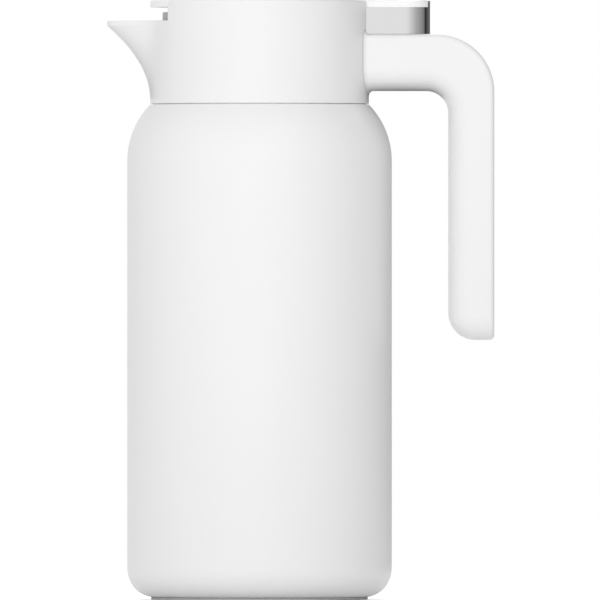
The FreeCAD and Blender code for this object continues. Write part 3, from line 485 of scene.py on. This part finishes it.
# %% [markdown]
# ## The room: a white table and a white surround
#
# The kettle stands on a pale table in a white room. The room is the world's background. What the camera
# and a mirror see of it is plain white, at a strength of 1. What lights the kettle is set apart from that
# and is lower, so white paint does not wash out. The table adds a little white of its own for the same
# rays, so that it ends in the background without an edge and still keeps the kettle's shadow. Seen from
# below it lets the eye through, so the underside can be looked at.

# %% World and table

# Light of the room on the kettle, and the table's own white for direct rays, where 1 is full white
AMBIENT = 0.61
TABLE_GLOW = 0.48
TABLE_RADIUS = 1.5
TABLE_SIDES = 96


def seen_directly(tree):
    """A socket that is 1 for rays from the camera, from a mirror or through glass, and 0 for the rest."""
    path = add_node(tree, "LightPath").outputs
    mirror = add_node(
        tree, "Math", {0: path["Is Camera Ray"], 1: path["Is Glossy Ray"]}, operation="MAXIMUM",
    )
    glass = add_node(
        tree, "Math", {0: mirror.outputs["Value"], 1: path["Is Transmission Ray"]}, operation="MAXIMUM",
    )
    return glass.outputs["Value"]


world = bpy.data.worlds.new("white_room")
bpy.context.scene.world = world
world.use_nodes = True
tree = world.node_tree
tree.nodes.clear()
strength = add_node(tree, "MapRange", {"Value": seen_directly(tree), "To Min": AMBIENT, "To Max": 1})
room = add_node(tree, "Background", {"Color": (1, 1, 1, 1), "Strength": strength.outputs["Result"]})
add_node(tree, "OutputWorld", {"Surface": room.outputs["Background"]})

table_white, _ = new_material("pale_table")
tree = table_white.node_tree
paint = add_node(tree, "BsdfDiffuse", {"Color": hex_colour("E6E6E6")})
glow_level = add_node(tree, "Math", {0: seen_directly(tree), 1: TABLE_GLOW}, operation="MULTIPLY")
glow = add_node(tree, "Emission", {"Strength": glow_level.outputs["Value"]})
lit = add_node(tree, "AddShader", {0: paint.outputs["BSDF"], 1: glow.outputs["Emission"]})
from_below = add_node(tree, "NewGeometry").outputs["Backfacing"]
clear = add_node(tree, "BsdfTransparent")
top = add_node(tree, "MixShader", {0: from_below, 1: lit.outputs["Shader"], 2: clear.outputs["BSDF"]})
add_node(tree, "OutputMaterial", {"Surface": top.outputs["Shader"]})

bpy.ops.object.select_all(action="DESELECT")
bpy.ops.mesh.primitive_circle_add(vertices=TABLE_SIDES, radius=TABLE_RADIUS, fill_type="NGON")
table = bpy.context.object
table.name = "table"
table.data.materials.append(table_white)
print("table of", TABLE_RADIUS, "m radius")

# %% [markdown]
# ## A graded card for the chrome
#
# Chrome in an all-white room looks like white paint. A photographer curves a grey card round one side of
# the set, paler towards the camera and darker away from it, with a dark gap before the next card: its
# mirror image draws the skirt's round end. The paint comes first: the angle round the axis of that round
# end, counted from the viewer, picks the grey.

# %% The card's paint

# Angle from the viewer, in degrees, and how bright the card is there. The card ends at the last angle
CARD_STEPS = ((0, 1.0), (45, 0.54), (90, 0.27), (107, 0.0), (115, 0.09), (150, 0.17), (176, 0.26))
CARD_TURN = math.radians(CARD_STEPS[-1][0])

_, skirt_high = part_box("thumb_skirt")
nose = Vector((skirt_high.x - skirt_high.y, 0, 0))
card_paint, place = new_material("graded_card")
tree = card_paint.node_tree
centred = add_node(tree, "Mapping", {"Vector": place, "Location": -nose}).outputs["Vector"]
parts = add_node(tree, "SeparateXYZ", {"Vector": centred}).outputs
away = add_node(tree, "Math", {0: parts["Y"], 1: -1}, operation="MULTIPLY")
turn = add_node(tree, "Math", {0: parts["X"], 1: away.outputs["Value"]}, operation="ARCTAN2")
share = add_node(tree, "MapRange", {"Value": turn.outputs["Value"], "From Max": CARD_TURN})
ramp = add_node(tree, "ValToRGB", {"Fac": share.outputs["Result"]})
stops = ramp.color_ramp.elements
while len(stops) < len(CARD_STEPS):
    stops.new(1)
for stop, (angle, level) in zip(stops, CARD_STEPS):
    stop.position = math.radians(angle) / CARD_TURN
    stop.color = (level, level, level, 1)
shine = add_node(tree, "Emission", {"Color": ramp.outputs["Color"]})
add_node(tree, "OutputMaterial", {"Surface": shine.outputs["Emission"]})
print("card paint with", len(stops), "steps")

# %% [markdown]
# The card is a piece of an upright cylinder about the same axis: the faces beyond its turn are deleted.
# Only mirror rays see it, so it takes no light from the white pieces.

# %% The graded card

CARD_RADIUS = 0.6
CARD_HEIGHT = 1.2
CARD_SIDES = 180

bpy.ops.object.select_all(action="DESELECT")
bpy.ops.mesh.primitive_cylinder_add(
    vertices=CARD_SIDES, radius=CARD_RADIUS, depth=CARD_HEIGHT, end_fill_type="NOTHING",
    location=(nose.x, 0, CARD_HEIGHT / 2),
)
card = bpy.context.object
card.name = "graded_card"
bpy.ops.object.transform_apply(location=True, rotation=True, scale=True)
bpy.ops.object.mode_set(mode="EDIT")
bpy.ops.mesh.select_mode(type="FACE")
bpy.ops.mesh.select_all(action="DESELECT")
bpy.ops.object.mode_set(mode="OBJECT")
for face in card.data.polygons:
    angle = math.atan2(face.center.x - nose.x, -face.center.y)
    face.select = not 0 < angle < CARD_TURN
bpy.ops.object.mode_set(mode="EDIT")
bpy.ops.mesh.delete(type="FACE")
bpy.ops.object.mode_set(mode="OBJECT")
card.data.materials.append(card_paint)
card.visible_camera = False
card.visible_diffuse = False
card.visible_shadow = False
print("card:", len(card.data.polygons), "faces left of the cylinder")

# %% [markdown]
# ## Dark cards under the handle and the spout
#
# A white jug on a white table loses its edges, because the table throws light up under every overhang.
# The remedy is a small dark card, held level under each overhang: the underside of the handle's arm turns
# towards one and goes grey, and so does the hollow of the spout. One large card could lie on the table,
# but there it would take light from the side of the body too. Only the upper faces are dark, so the table
# stays white.

# %% The dark cards

DARK_LEVEL = 0.1
DARK_SIZE = 32 * MM
# Left edge and height of each card, in mm
DARK_CARDS = {"dark_card_handle": (53, 238), "dark_card_spout": (-85, 240)}

dark_paint, _ = new_material("dark_card")
tree = dark_paint.node_tree
dark = add_node(tree, "Emission", {"Strength": DARK_LEVEL})
clear = add_node(tree, "BsdfTransparent")
from_below = add_node(tree, "NewGeometry").outputs["Backfacing"]
top = add_node(tree, "MixShader", {0: from_below, 1: dark.outputs["Emission"], 2: clear.outputs["BSDF"]})
add_node(tree, "OutputMaterial", {"Surface": top.outputs["Shader"]})

for name, (left, height) in DARK_CARDS.items():
    bpy.ops.object.select_all(action="DESELECT")
    bpy.ops.mesh.primitive_plane_add(size=DARK_SIZE, location=(left * MM + DARK_SIZE / 2, 0, height * MM))
    dark_card = bpy.context.object
    dark_card.name = name
    dark_card.data.materials.append(dark_paint)
    dark_card.visible_camera = False
    dark_card.visible_shadow = False
    print(name, "at", [round(side / MM) for side in dark_card.location], "mm")

# %% [markdown]
# ## Three soft boxes
#
# A white jug is lit by broad lamps. One stands low before it, a little to the left, so that the light is
# strongest on the middle of the body and falls off slowly towards both edges. A weak one to the right
# keeps that side from going flat, and one high behind lights the lid and the back. One huge lamp would
# do, but three are easier to balance. Each lamp's power is worked out from the share of full light that
# it should give: a lamp lights a white card fully at about pi squared times the square of its distance,
# in watts.

# %% Soft boxes

LAMP_DISTANCE = 2.0
LAMP_SIZE = 1.2
# Degrees to the left of the viewer, degrees above the table, and the share of full light
SOFT_BOXES = {
    "front_soft_box": (11, 9, 0.41),
    "right_soft_box": (-45, 9, 0.03),
    "rear_soft_box": (180, 50, 0.2),
}

low, high = cad_box
middle = (low + high) / 2
for name, (left, up, share) in SOFT_BOXES.items():
    towards = Vector((0, -1, 0))
    towards.rotate(Euler((-math.radians(up), 0, -math.radians(left))))
    bpy.ops.object.light_add(type="AREA", location=middle + towards * LAMP_DISTANCE)
    lamp = bpy.context.object
    lamp.name = name
    lamp.rotation_euler = towards.to_track_quat("Z", "Y").to_euler()
    lamp.data.shape = "SQUARE"
    lamp.data.size = LAMP_SIZE
    lamp.data.energy = share * math.pi**2 * LAMP_DISTANCE**2
    lamp.visible_glossy = False
    lamp.visible_camera = False
    print(name, [round(side, 2) for side in lamp.location], round(lamp.data.energy, 1), "W")

# %% [markdown]
# ## The camera
#
# The picture is a flat side view: level lines stay level from edge to edge, so it was taken from far away
# with a very long lens. The camera does the same. It stands level with the middle of the frame, twelve
# metres off, and the lens is chosen so that the frame just holds the kettle's height.

# %% Camera

# Side of the square that the picture shows, and its middle, in metres
FRAME_SIZE = 0.288
FRAME_MIDDLE = Vector((0.01944, 0, 0.1438))
CAMERA_DISTANCE = 12.0
CLIP_END = 4 * CAMERA_DISTANCE
# Width of the camera's sensor in mm
SENSOR = 36.0

bpy.ops.object.camera_add(
    location=FRAME_MIDDLE - Vector((0, CAMERA_DISTANCE, 0)), rotation=(math.radians(90), 0, 0),
)
camera = bpy.context.object
camera.data.sensor_width = SENSOR
camera.data.lens = SENSOR * CAMERA_DISTANCE / FRAME_SIZE
camera.data.clip_end = CLIP_END
bpy.context.scene.camera = camera
bpy.context.scene.view_settings.view_transform = "Standard"
print("lens:", round(camera.data.lens), "mm")
